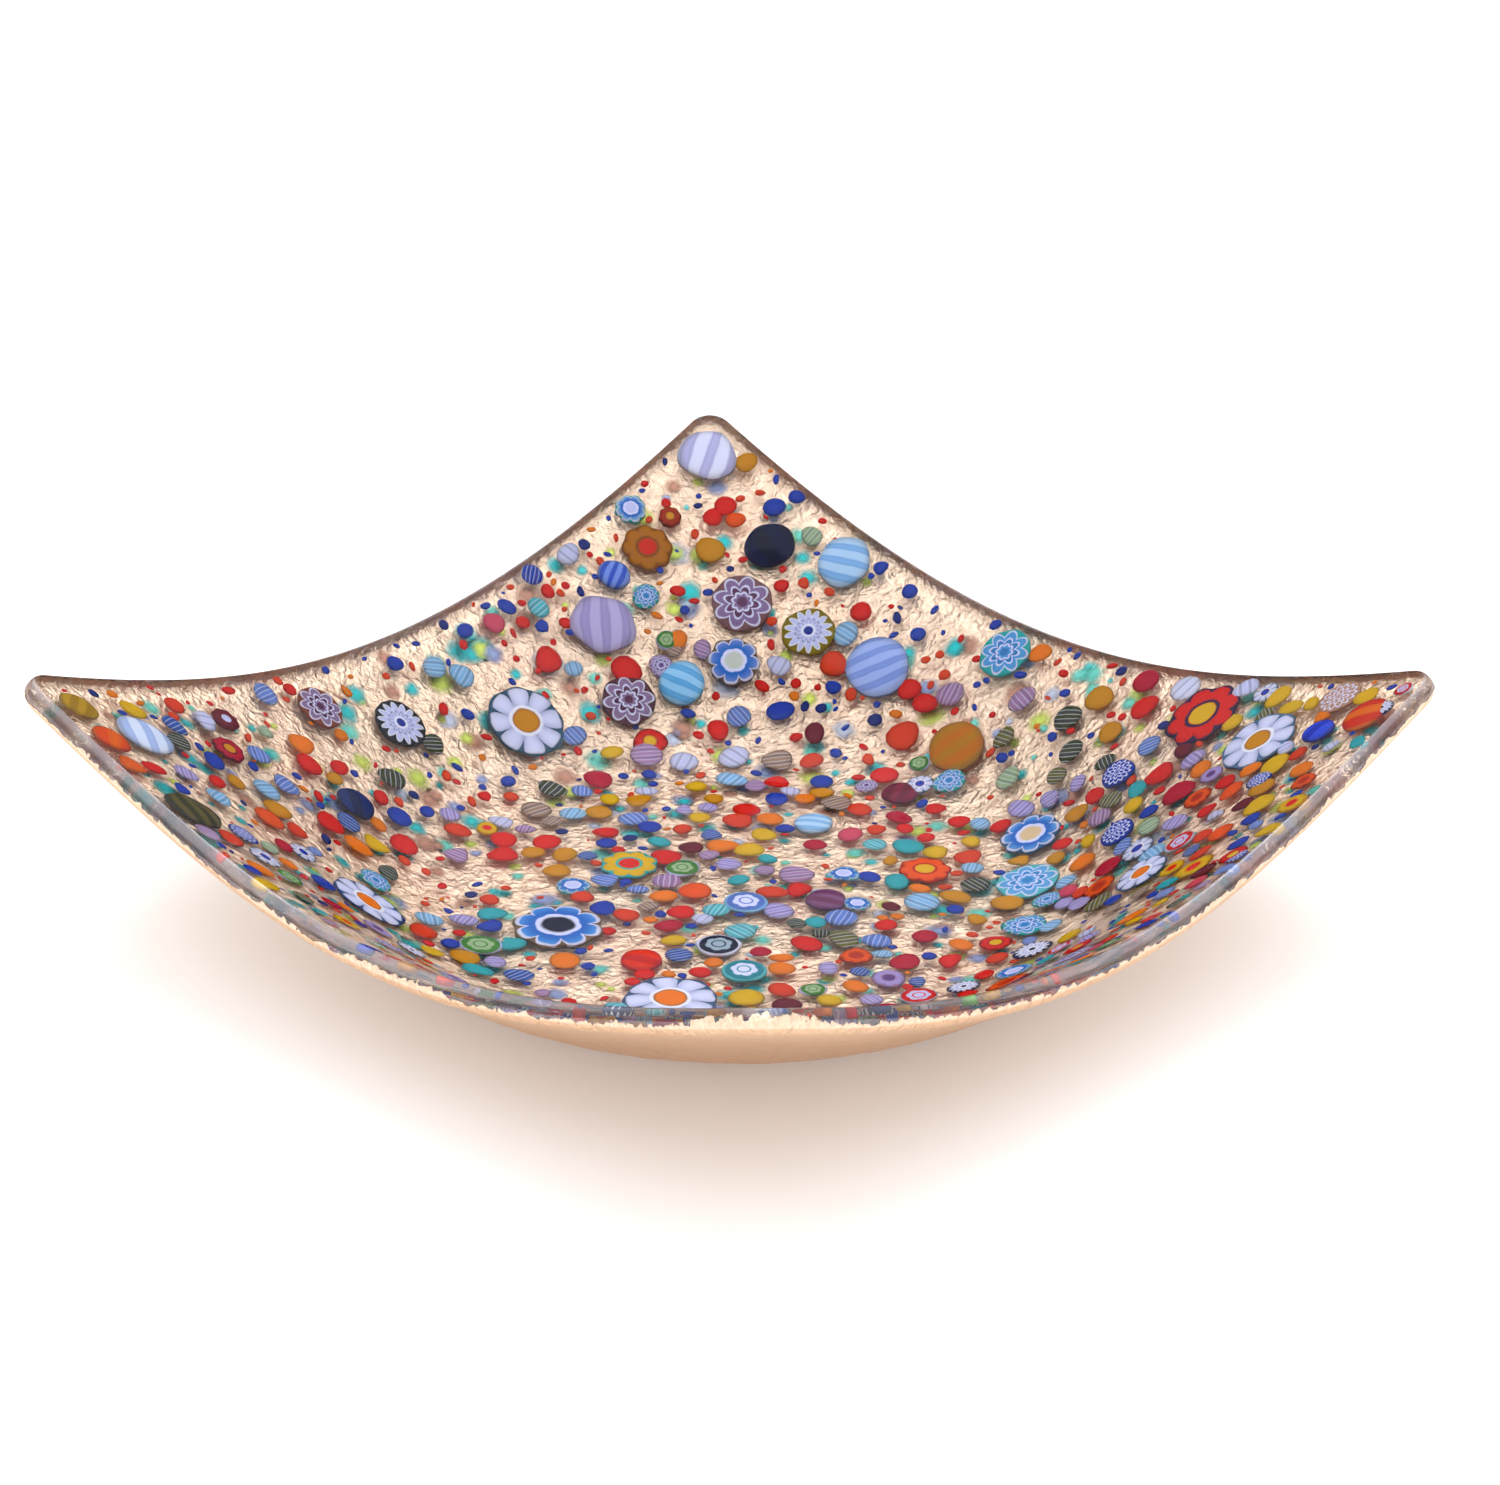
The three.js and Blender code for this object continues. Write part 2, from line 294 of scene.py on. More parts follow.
# %% [markdown]
# ## Light, floor and camera
#
# Glass and gold only look right with something to mirror. A pale room that is brightest
# overhead gives the leaf its soft light and dark ripples, with painted shade in the leaf's
# colour deepening the ripples, and one big soft lamp adds the gloss on the rim. Lamps alone
# would leave the glass speckled, because their light has to bend into it.

# %% Room and lamp
scene = bpy.context.scene
scene.view_settings.view_transform = "Standard"
room = bpy.data.worlds.new("room")
scene.world = room
room.use_nodes = True
sky = room.node_tree
direction = sky.nodes.new("ShaderNodeTexCoord")
height = sky.nodes.new("ShaderNodeSeparateXYZ")
bands = sky.nodes.new("ShaderNodeValToRGB")
bands.color_ramp.interpolation = "EASE"
SKY_BANDS = ((0.0, 0.5), (0.3, 0.8), (0.5, 1.95), (0.9, 2.35), (0.985, 0.9))
while len(bands.color_ramp.elements) < len(SKY_BANDS):
    bands.color_ramp.elements.new(0.5)
for stop, (place, level) in zip(bands.color_ramp.elements, SKY_BANDS):
    stop.position, stop.color = place, (level, level, level, 1)
sky.links.new(direction.outputs["Generated"], height.inputs[0])
sky.links.new(height.outputs["Z"], bands.inputs[0])
seen = sky.nodes.new("ShaderNodeLightPath")
backdrop = sky.nodes.new("ShaderNodeMix")
backdrop.data_type = "RGBA"
backdrop.inputs[7].default_value = (1, 1, 1, 1)
sky.links.new(seen.outputs["Is Camera Ray"], backdrop.inputs[0])
sky.links.new(bands.outputs[0], backdrop.inputs[6])
sky.links.new(backdrop.outputs[2], sky.nodes["Background"].inputs["Color"])

lamp = bpy.data.lights.new("soft_box", "AREA")
lamp.size, lamp.energy = 1.4, 10.0
soft_box = bpy.data.objects.new("soft_box", lamp)
scene.collection.objects.link(soft_box)
soft_box.location = (0.5, 0.3, 1.6)
towards_bowl = Vector((0, 0, 0)) - soft_box.location
soft_box.rotation_euler = towards_bowl.to_track_quat("-Z", "Y").to_euler()
print("lamp and room ready")

# %% Floor
FLOOR_HALF = 4.0
floor_mesh = bpy.data.meshes.new("floor")
floor_signs = ((-1, -1), (1, -1), (1, 1), (-1, 1))
floor_corners = [(x * FLOOR_HALF, y * FLOOR_HALF, 0) for x, y in floor_signs]
floor_mesh.from_pydata(floor_corners, [], [(0, 1, 2, 3)])
floor = bpy.data.objects.new("floor", floor_mesh)
scene.collection.objects.link(floor)
pale = Glaze("pale_light_table", Roughness=0.9, Emission_Strength=0.26)
grain = pale.noise(pale.place(), 3.0)
pale.set(Emission_Color=(1.0, 0.9, 0.84, 1))
floor_mesh.materials.append(
    pale.set(Base_Color=pale.mix(grain, (0.61, 0.61, 0.62, 1), (0.64, 0.64, 0.65, 1)))
)

# %% Camera
camera_data = bpy.data.cameras.new("camera")
camera = bpy.data.objects.new("camera", camera_data)
scene.collection.objects.link(camera)
scene.camera = camera
camera_data.lens, camera_data.sensor_width = 128.4, 36.0
LOOK_AT = Vector((2.15, -2.37, 35.5)) * MM
back = Vector((-0.6680, -0.6065, 0.4312)).normalized()
level_right = Vector((0, 0, 1)).cross(back).normalized()
level_up = back.cross(level_right)
ROLL = math.radians(0.975)
right = math.cos(ROLL) * level_right + math.sin(ROLL) * level_up
up = back.cross(right)
turn = Matrix((right, up, back)).transposed().to_4x4()
camera.matrix_world = Matrix.Translation(LOOK_AT + back * 0.9747) @ turn
camera_data.clip_start, camera_data.clip_end = 0.01, 50.0
print("camera at", [round(v, 3) for v in camera.location])

# %% [markdown]
# ## What the maker laid on the glass
#
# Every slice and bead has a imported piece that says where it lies. Its pattern and size are
# listed here, so that the glass over it can rise a little, as it does where a thick piece
# of cane is fused in.

# %% The layout
WHITE, PEARL, LILAC, MAUVE = "e2e4fa", "cfd2f2", "b0a0d8", "b088b4"
SKY, AQUA, CORN, COBALT, NAVY = "8ec2e6", "5cc3cc", "6f8fd8", "2444b4", "0d1536"
RED, CRIMSON, WINE, ORANGE, TANGERINE = "e01f10", "c01434", "74182a", "ee5a0c", "f08414"
OCHRE, YELLOW, OLIVE, MOSS, SAGE = "d49412", "e2b810", "74702e", "454c28", "a8c096"
TAUPE, TEAL = "a8876e", "2fb4b4"

SLICES = {
    "daisy_white_back": (16, "daisy", (WHITE, OCHRE, "3d6078")),
    "daisy_white_right": (16, "daisy", (WHITE, OCHRE, "5b7fa8")),
    "daisy_white_left": (15, "daisy", (WHITE, TANGERINE, "31548c")),
    "daisy_white_front": (17, "daisy", (WHITE, TANGERINE, "49668c")),
    "daisy_white_small": (11, "daisy", (WHITE, TANGERINE, "49668c")),
    "daisy_blue_floor": (17, "edged", ("4d9ade", WHITE, NAVY, "7a5f44")),
    "flower_red_right": (16, "flower", (RED, YELLOW, "3a1c4a")),
    "flower_yellow_floor": (11, "flower", (YELLOW, RED, TEAL)),
    "flower_yellow_front": (12, "flower", (YELLOW, RED, "a83a10")),
    "flower_ochre_back": (11, "flower", ("b8720c", "d42a0a", "8a4c0a")),
    "flower_orange_floor": (10, "flower", (ORANGE, YELLOW, "c03008")),
    "flower_blue_back": (11, "edged", (CORN, WHITE, "cdd2c8", "6b5a52")),
    "flower_blue_floor": (12, "edged", ("62a8e2", WHITE, "e2c9a0", "2e6aa0")),
    "flower_sky_edge": (7, "edged", (SKY, WHITE, PEARL, TEAL)),
    "flower_red_back": (5, "flower", ("b03208", OCHRE, "8a2a08")),
    "flower_red_left": (7, "flower", (CRIMSON, OCHRE, WINE)),
    "flower_crimson_left": (6, "flower", (WINE, PEARL, WINE)),
    "wave_aqua_right": (11, "star", ("5aa6dc", WHITE, "3c86c4", TEAL)),
    "wave_sky_floor": (12, "star", ("66aede", WHITE, "3f90cc", AQUA)),
    "star_purple_back": (13, "star", ("9278a4", WHITE, "6a3f62", "865f62")),
    "star_purple_middle": (11, "star", ("94789e", WHITE, "5e2f52", "5d3540")),
    "star_purple_left": (10, "star", ("94789e", WHITE, "5e2f52", "8c4a3a")),
    "star_purple_front": (12, "star", ("9a86b4", WHITE, "6a3f6e", "5d3540")),
    "sunburst_left": (11, "sunburst", (PEARL, "22389a", "2c3038")),
    "sunburst_back": (11, "sunburst", (PEARL, "22389a", "8c7a10")),
    "lace_tan_corner": (9, "lace", ("c2957c", WHITE)),
    "lace_cobalt_right": (7, "lace", ("1f3fae", WHITE)),
    "lace_cobalt_floor": (7, "lace", ("1f3fae", WHITE)),
    "ring_navy_floor": (8, "ring", ("a9bccb", NAVY, WHITE)),
    "ring_aqua_floor": (8, "ring", (WHITE, "2f8fa0", AQUA)),
    "ring_white_floor": (8, "ring", (WHITE, "5d7fc8", SKY)),
    "bead_pearl_corner": (13, "bead", ("c4c2e8", "eef0ff", 3)),
    "bead_lilac_back": (14, "bead", ("ab9fcf", "c9bee2", 4)),
    "bead_sky_middle": (10, "bead", ("62b4e2", "a6d8f4", 4)),
    "bead_periwinkle_back": (14, "bead", ("8ca6e4", "b4c8f4", 5)),
    "bead_sky_back": (12, "bead", ("8cc0ec", "c6e2f8", 4)),
    "bead_navy_back": (11, "bead", ("060e2a", "0a1640", 2)),
    "bead_olive_floor": (12, "bead", ("bf8806", "cc7606", 3)),
    "bead_sky_left": (12, "bead", ("b4c8ee", "e6eefa", 3)),
    "bead_orange_corner": (10, "bead", ("ea7a12", "d8260a", 2)),
    "bead_olive_left": (12, "bead", ("6e6430", "3d3d22", 4)),
    "bead_orange_left": (8, "bead", ("e8700f", "e2500c", 2)),
    "bead_yellow_left": (8, "bead", ("c9a010", "a8820c", 3)),
    "bead_blue_back": (7, "bead", ("2b55c8", "86a6ea", 4)),
    "bead_navy_left": (8, "bead", ("16244e", "22387a", 2)),
    "bead_plum_floor": (8, "bead", ("8e5a86", "7c3f64", 3)),
    "bead_crimson_floor": (7, "bead", ("8e1838", "6e1030", 3)),
    "bead_red_floor": (8, "bead", ("d0190f", "e8380f", 2)),
    "bead_blue_right": (7, "bead", ("1d38c0", "2a50e0", 2)),
    "bead_sky_floor": (8, "bead", ("8fbfe6", "c4e0f4", 4)),
}
laid = {name: (*seat(name), size / 2) for name, (size, *_) in SLICES.items()}
laid_x, laid_y, laid_r = np.array(list(laid.values())).T
laid_crown = np.array([0.55 if kind == "bead" else 0.2 for _, kind, _ in SLICES.values()])
print("slices and beads seated:", len(laid))

# %% The rise of the face over the cane
rng = np.random.default_rng(7)
wave_turn = rng.uniform(0, 2 * np.pi, 9)
wave_step = 2 * np.pi / rng.uniform(9, 26, 9)
wave_shift = rng.uniform(0, 2 * np.pi, 9)


def relief(x, y):
    """Height of the fire-polished face over the plain sheet: a round swell over each slice
    or bead, crown times one minus the squared distance, and a few long low waves."""
    x, y = np.asarray(x, float), np.asarray(y, float)
    away = np.hypot(x[..., None] - laid_x, y[..., None] - laid_y) / (laid_r * 1.15)
    swell = (laid_crown * np.clip(1 - away**2, 0, 1) ** 1.5).sum(-1)
    phase = x[..., None] * np.cos(wave_turn) + y[..., None] * np.sin(wave_turn)
    rise = swell + 0.012 * np.sin(phase * wave_step + wave_shift).sum(-1) - 0.05
    return rise * (1 - np.clip(np.maximum(abs(x), abs(y)) / 98.5, 0, 1) ** 12)


ripple_turn = rng.uniform(0, 2 * np.pi, 14)
ripple_step = 2 * np.pi / rng.uniform(5, 10, 14)
ripple_shift = rng.uniform(0, 2 * np.pi, 14)


def ripples(x, y):
    """Height of the underside over a flat one, where the sheet took the mould's unevenness:
    the sum of 0.02 mm (1 + sine) over fourteen short waves, none of it below the sheet."""
    phase = x[..., None] * np.cos(ripple_turn) + y[..., None] * np.sin(ripple_turn)
    return 0.02 * (1 + np.sin(phase * ripple_step + ripple_shift)).sum(-1)


print("rise over the lilac bead:", round(float(relief(*laid["bead_lilac_back"][:2])), 2), "mm")

# %% [markdown]
# ## The sheet of glass
#
# The body is one closed skin: a face, a rounded rim that the kiln has fire-polished, and an
# underside. A cube with a bevel could be bent to shape, but its corners would pinch, so the
# blank's own outline is shrunk ring by ring towards the middle.

# %% The outline of the blank
HALF_SIDE, SIDE_BOW, CORNER_RADIUS = 100.0, 1.6, 5.5
SHEET = 4.35


def blank_outline(side_steps, corner_steps):
    """Once round the square: sides drawn in at the middle as a parabola, and corners as
    quarter circles. Every quarter is the first one turned a right angle."""
    straight = HALF_SIDE - CORNER_RADIUS
    along = -straight + 2 * straight * np.arange(side_steps) / side_steps
    side = np.stack([HALF_SIDE - SIDE_BOW * (1 - (along / straight) ** 2), along], -1)
    turn = np.pi / 2 * np.arange(corner_steps) / corner_steps
    corner = straight + CORNER_RADIUS * np.stack([np.cos(turn), np.sin(turn)], -1)
    quarter = np.concatenate([side, corner])
    turned = [quarter]
    for _ in range(3):
        quarter = np.stack([-quarter[:, 1], quarter[:, 0]], -1)
        turned.append(quarter)
    return np.concatenate(turned)


outline = blank_outline(100, 20)
columns = len(outline)
reach = np.hypot(*outline.T)
print("columns round the bowl:", columns)

# %% Clear glass
GLASS_IOR = 1.5
GLOSS = 0.22
RIM_GLOSS = 0.13
clear = Glaze("clear_glass")
faint = clear.noise(clear.place(), 90, detail=1.0)
streaks = clear.noise(clear.place(), 25, detail=3.0)
tint = clear.mix(streaks, (0.99, 0.995, 1.0, 1), (0.965, 0.975, 0.99, 1))
waves = clear.bump(faint, 0.25, 0.0006)
smooth = faint * 0.02
through = clear.node(
    "ShaderNodeBsdfRefraction",
    values={"Color": tint, "Roughness": smooth, "IOR": GLASS_IOR, "Normal": waves},
)
mirror = clear.node(
    "ShaderNodeBsdfGlossy",
    values={"Color": (0.9, 0.9, 1, 1), "Roughness": smooth, "Normal": waves},
)
fresnel = clear.node("ShaderNodeFresnel", values={"IOR": GLASS_IOR, "Normal": waves})
inside = clear.node("ShaderNodeNewGeometry", output="Backfacing")
rim_share = clear.node("ShaderNodeVertexColor", {"layer_name": "tint"})
rim_share = clear.node("ShaderNodeSeparateColor", values=(rim_share,))
sheen = fresnel * (inside * (1 - GLOSS) + GLOSS) + rim_share * (1 - inside) * RIM_GLOSS
clear.surface(clear.node("ShaderNodeMixShader", values=(sheen, through, mirror)))

# %% Make the sheet
FACE_RINGS, RIM_RINGS, UNDER_RINGS = 100, 12, 64
OVER_BULGE, UNDER_BULGE = 1.0, 2.4


def sheet_ring(edge_share=None, rim_turn=None, under=False):
    """One ring of the skin. On a flat side it is the outline shrunk to a share; on the rim
    it goes round a half oval, from straight up at a quarter turn to straight down."""
    round_radius = SHEET / 2
    if rim_turn is None:
        distance = (reach - (UNDER_BULGE if under else OVER_BULGE)) * edge_share
    else:
        bulge = np.where(np.asarray(rim_turn) > 0, OVER_BULGE, UNDER_BULGE)
        distance = reach - bulge * (1 - np.cos(rim_turn))
    x, y = (outline * (distance / reach)[:, None]).T
    if rim_turn is None:
        lift = ripples(x, y) * (1 - edge_share**12) - SHEET if under else relief(x, y)
    else:
        lift = -round_radius * (1 - np.sin(rim_turn)) * np.ones(columns)
    return slump(x, y, lift)


face = [sheet_ring(edge_share=s) for s in np.linspace(0, 1, FACE_RINGS + 1)[1:]]
rim_turns = np.linspace(np.pi / 2, -np.pi / 2, RIM_RINGS + 1)[1:-1]
rim = [sheet_ring(rim_turn=t) for t in rim_turns]
under = [sheet_ring(edge_share=s, under=True) for s in np.linspace(1, 0, UNDER_RINGS + 1)[:-1]]
middle = np.zeros(1)
poles = [
    slump(middle, middle, relief(middle, middle))[0],
    slump(middle, middle, ripples(middle, middle) - SHEET)[0],
]
rings = face + rim + under
points = np.concatenate([poles[0][None], *rings, poles[1][None]])
quads, tris = ring_faces(len(rings), columns)
on_rim = np.zeros((len(points), 4))
on_rim[1 + len(face) * columns : 1 + (len(face) + len(rim)) * columns] = 1
glass_body = build_mesh(
    "glass_body", points, quads[:, ::-1], tris[:, ::-1], clear.material, tint=on_rim
)
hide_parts("glass_sheet")
print("glass body faces:", len(quads) + len(tris))

# %% [markdown]
# ## Gold leaf
#
# Leaf is beaten so thin that it wrinkles as it is laid and tears where it runs over the
# edge. It is made from the underside's own rings, so that it lies exactly on the glass, and
# carried a ragged way up round the rim. The skin is cut into nine, one for each square.

# %% Gold
gold = Glaze("gold_leaf", Metallic=1.0)
spot = gold.place()
crumple = gold.noise(spot, 900, detail=4.0, distortion=0.4)
ripple = gold.noise(spot, 420, detail=3.0, distortion=0.8)
cloud = gold.noise(spot, 40, detail=2.0)
wear = gold.mix(cloud, paint("f8dcc0"), paint("fbe6d0"))
leaf_place = gold.node("ShaderNodeUVMap", {"uv_map": "cane"})
near_edge = gold.node("ShaderNodeSeparateXYZ", values=(leaf_place,))
torn = near_edge + (gold.noise(spot, 620, detail=4.0) - 0.5) * 0.9
# Painted shade: the leaf goes darker where the crumple noise, which is also the bump height, is
# low, in the hollows of the wrinkles.
bright = gold.mix((crumple - 0.5) * 1.6 + 0.6, paint("e6c4a6"), wear)
# Painted shade: faces of the leaf turned downward, under the bowl, take a darker copy of the gold,
# also darker in the hollows of the wrinkles.
square_to_leaf = gold.node("ShaderNodeNewGeometry", output="Normal")
facing = gold.node("ShaderNodeSeparateXYZ", values=(square_to_leaf,), output=2)
painted_shade_below = gold.mix(crumple * 0.7 + cloud * 0.5, paint("cfa47e"), paint("eccbaa"))
gold.set(
    Base_Color=gold.mix(facing.below(-0.1, 0.2), bright, painted_shade_below),
    Roughness=0.34 + cloud * 0.16,
    Alpha=torn.below(0.86, 0.04),
    Normal=gold.bump(crumple * 0.6 + ripple, 0.85, 0.0007),
)

# %% Lay the leaf
LEAF_RIM_RINGS = 6
leaf_rng = np.random.default_rng(21)
ragged = leaf_rng.uniform(0, 1, columns)
for width in (3, 9):
    smooth = np.convolve(np.tile(ragged, 3), np.ones(width) / width, "same")
    ragged = 0.5 * ragged + 0.5 * smooth[columns : 2 * columns]
ragged = (ragged - ragged.min()) / np.ptp(ragged)
turned_up = np.clip(outline @ np.array([0.74, 0.67]) / 30, -1, 1)
folded = np.exp(-(((outline @ np.array([-0.707, -0.707]) - 136) / 7) ** 2))
leaf_end = np.radians(-32 + 42 * ragged + 6 * (1 + turned_up) + 60 * folded)
leaf_rings = [
    sheet_ring(rim_turn=-np.pi / 2 + (leaf_end + np.pi / 2) * s)
    for s in np.linspace(1, 0, LEAF_RIM_RINGS + 1)[:-1]
] + under
leaf_points = np.concatenate([*leaf_rings, poles[1][None]])
leaf_quads, leaf_tris = ring_faces(len(leaf_rings), columns)
leaf_quads, leaf_tris = leaf_quads - 1, leaf_tris[columns:] - 1
leaf_uv = np.zeros((len(leaf_points), 2))
leaf_uv[: LEAF_RIM_RINGS * columns, 0] = np.repeat(
    np.linspace(1, 0, LEAF_RIM_RINGS + 1)[:-1], columns
)

LEAF_HALF = 32.0
LEAF_THICKNESS = 0.15 * MM
THIRDS = {"left": 0, "front": 0, "middle": 1, "right": 2, "back": 2}


def third(values):
    """0, 1 or 2: before, on or past the middle square."""
    return (values > -LEAF_HALF * MM).astype(int) + (values > LEAF_HALF * MM)


quad_middle = leaf_points[leaf_quads].mean(1)
tri_middle = leaf_points[leaf_tris].mean(1)
for row in ("front", "middle", "back"):
    for column in ("left", "middle", "right"):
        cell = (THIRDS[column], THIRDS[row])
        mine = [
            faces[(third(middle[:, 0]) == cell[0]) & (third(middle[:, 1]) == cell[1])]
            for faces, middle in ((leaf_quads, quad_middle), (leaf_tris, tri_middle))
        ]
        used = np.unique(np.concatenate([mine[0].ravel(), mine[1].ravel()]))
        index = np.searchsorted(used, mine[0]), np.searchsorted(used, mine[1])
        leaf = build_mesh(
            f"leaf_{row}_{column}", leaf_points[used], index[0][:, ::-1], index[1][:, ::-1],
            gold.material, uv=leaf_uv[used], open_edge=True,
        )
        thicken = leaf.modifiers.new("beaten", "SOLIDIFY")
        thicken.thickness, thicken.offset = LEAF_THICKNESS, 0.0
        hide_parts(f"gold_leaf_{row}_{column}")
print("leaf faces:", len(leaf_quads) + len(leaf_tris))

# %% [markdown]
# ## Patterns in the cane
#
# A flower slice is the cut end of a rod built up in layers: a core, rings pressed in
# star-shaped moulds, and a clear or dark case. So each pattern is written the same way,
# from the case inwards, with petals as a ring whose radius swings with the angle.

# %% Petal shapes
SOFT = 0.05


def slice_glaze(name):
    """A nearly shineless glaze, since the clear glass over it shines, and its own map."""
    glaze = Glaze(name, Specular_IOR_Level=0.05)
    radius, angle, across, along = glaze.on_slice()
    return glaze, radius, angle, across, along


def finish_slice(glaze, colour, height):
    """The last coat: cloudy streaks in the colour, and edges that stand a little proud."""
    cloud = glaze.noise(glaze.place(), 700, detail=3.0)
    shaded = glaze.mix(cloud * 0.07, colour, paint("3a3f5c"))
    return glaze.set(
        Base_Color=shaded, Roughness=0.25 + cloud * 0.2, Normal=glaze.bump(height, 0.5, 0.0002)
    )


def notch(angle, petals, sharp):
    """1 in the cleft between two petals and 0 over each petal's middle."""
    return (1 - abs((angle * (petals / 2)).cos())) ** sharp


def daisy_glass(name, petal, heart, case):
    """White petals with narrow clefts round a ringed heart."""
    glaze, radius, angle, *_ = slice_glaze(name)
    cleft = notch(angle, 8, 5)
    petals = (radius + cleft * 0.42).below(0.93, SOFT)
    shade = glaze.mix(notch(angle, 8, 1.2) * 0.55 + radius.below(0.5, 0.3) * 0.2,
                      paint(petal), paint("8f98bc"))
    colour = glaze.mix(petals, paint(case), shade)
    colour = glaze.mix(radius.below(0.44, SOFT), colour, paint("f4f4fb"))
    colour = glaze.mix(radius.below(0.35, SOFT), colour, paint("a8650a"))
    colour = glaze.mix(radius.below(0.31, SOFT), colour, paint(heart))
    return finish_slice(glaze, colour, petals + radius.below(0.4, 0.1))


def edged_glass(name, petal, edge, heart, case):
    """Shaded petals with a pale edge, a pale ring and a plain heart."""
    glaze, radius, angle, *_ = slice_glaze(name)
    cleft = notch(angle, 8, 2)
    swing = radius + cleft * 0.24
    colour = glaze.mix(swing.below(0.95, SOFT), paint(case), paint(edge))
    inner = glaze.mix(radius.below(0.72, 0.3), paint(petal), paint("2f74c8"))
    colour = glaze.mix(swing.below(0.86, SOFT), colour, inner)
    colour = glaze.mix((radius + notch(angle, 6, 1.5) * 0.04).below(0.5, SOFT), colour, paint(edge))
    colour = glaze.mix(radius.below(0.36, 0.1), colour, paint(heart))
    return finish_slice(glaze, colour, swing.below(0.9, 0.1))


def flower_glass(name, petal, heart, case):
    """Plain round petals, a dark ring and a heart."""
    glaze, radius, angle, *_ = slice_glaze(name)
    swing = radius + notch(angle, 8, 1.5) * 0.2
    colour = glaze.mix(swing.below(0.93, SOFT), paint(case), paint(petal))
    colour = glaze.mix(abs(radius - 0.42).below(0.05, SOFT), colour, paint(case))
    colour = glaze.mix(radius.below(0.36, SOFT), colour, paint(heart))
    return finish_slice(glaze, colour, swing.below(0.9, 0.1))


def star_glass(name, petal, edge, heart, case):
    """Three nested stars, each outlined in the edge colour."""
    glaze, radius, angle, *_ = slice_glaze(name)
    cleft = notch(angle, 8, 1)
    colour = paint(case)
    for limit, swing_depth, fill in ((0.93, 0.3, petal), (0.6, 0.22, heart), (0.34, 0.08, petal)):
        swing = radius + cleft * swing_depth
        colour = glaze.mix(swing.below(limit, SOFT), colour, paint(fill))
        colour = glaze.mix(abs(swing - limit).below(0.04, SOFT), colour, paint(edge))
    colour = glaze.mix(radius.below(0.17, SOFT), colour, paint(heart))
    return finish_slice(glaze, colour, radius.below(0.7, 0.6))


def sunburst_glass(name, ray, heart, case):
    """Fourteen narrow rays round a small heart."""
    glaze, radius, angle, *_ = slice_glaze(name)
    cleft = notch(angle, 14, 1)
    colour = glaze.mix((radius + cleft * 0.3).below(0.92, SOFT), paint(case), paint("f0f2fb"))
    colour = glaze.mix((radius + cleft * 0.34).below(0.84, SOFT), colour, paint(ray))
    colour = glaze.mix(abs(radius + cleft * 0.2 - 0.5).below(0.03, SOFT), colour, paint("8a8fa8"))
    colour = glaze.mix(radius.below(0.27, SOFT), colour, paint("f0f2fb"))
    colour = glaze.mix(radius.below(0.18, SOFT), colour, paint(heart))
    return finish_slice(glaze, colour, (radius + cleft * 0.3).below(0.9, 0.1))


def lace_glass(name, ground, line):
    """Three nested rings of fine scalloped line on a ground."""
    glaze, radius, angle, *_ = slice_glaze(name)
    colour = paint(ground)
    for limit, petals in ((0.82, 14), (0.52, 10), (0.26, 6)):
        swing = radius + notch(angle, petals, 1) * 0.2
        colour = glaze.mix(abs(swing - limit).below(0.06, SOFT), colour, paint(line))
    return finish_slice(glaze, colour, radius.below(0.8, 0.4))


def ring_glass(name, middle, band, case):
    """A middle with one thin ring in it, inside a band and a case."""
    glaze, radius, angle, *_ = slice_glaze(name)
    colour = glaze.mix(radius.below(0.88, SOFT), paint(case), paint(band))
    colour = glaze.mix((radius + notch(angle, 6, 1) * 0.1).below(0.62, SOFT), colour, paint(middle))
    colour = glaze.mix(abs(radius - 0.3).below(0.04, SOFT), colour, paint(band))
    return finish_slice(glaze, colour, radius.below(0.8, 0.3))


def bead_glass(name, body, line, lines):
    """Cane lying on its side: its layers show as bands of two tones with a thin line of the
    second tone where they meet, all drawing together towards the ends of the bead."""
    glaze, radius, angle, across, along = slice_glaze(name)
    fan = across * (1 + along * along * 0.35)
    drift = glaze.noise(glaze.place(), 120, detail=1.0)
    wave = (fan * (lines * math.pi * 0.8) + drift * 1.6).cos()
    colour = glaze.mix(wave.below(0, 0.5) * 0.8 + 0.1, paint(body), paint(line))
    colour = glaze.mix(abs(wave).below(0.06, 0.12) * 0.6, colour, paint(line))
    colour = glaze.mix(abs(wave - 0.6).below(0.08, 0.14) * 0.2, colour, paint("30304c"))
    # Painted shade: each bead is painted darker towards its outline, where its rounded edge turns
    # away from the light.
    colour = glaze.mix((1 - radius.below(0.86, 0.3)) * 0.3, colour, paint("3c3c5c"))
    return finish_slice(glaze, colour, wave * 0.1)


PATTERNS = {
    "daisy": daisy_glass, "edged": edged_glass, "flower": flower_glass, "star": star_glass,
    "sunburst": sunburst_glass, "lace": lace_glass, "ring": ring_glass, "bead": bead_glass,
}
print("patterns:", ", ".join(PATTERNS))

# %% [markdown]
# ## Slices and beads
#
# Each one is a thick disc sunk in the glass just under its face, with an edge rounded by
# the heat and an outline that is never quite true. Discs could be cylinders with a bevel,
# but rings of points can follow the slump and the petals as they go.

# %% Make the slices and beads
PETALS = {"daisy": (8, 0.05), "edged": (8, 0.1), "flower": (8, 0.08), "star": (8, 0.03),
          "sunburst": (14, 0.02), "lace": (0, 0), "ring": (0, 0), "bead": (0, 0)}
COVER = 0.12
THICK = 1.7


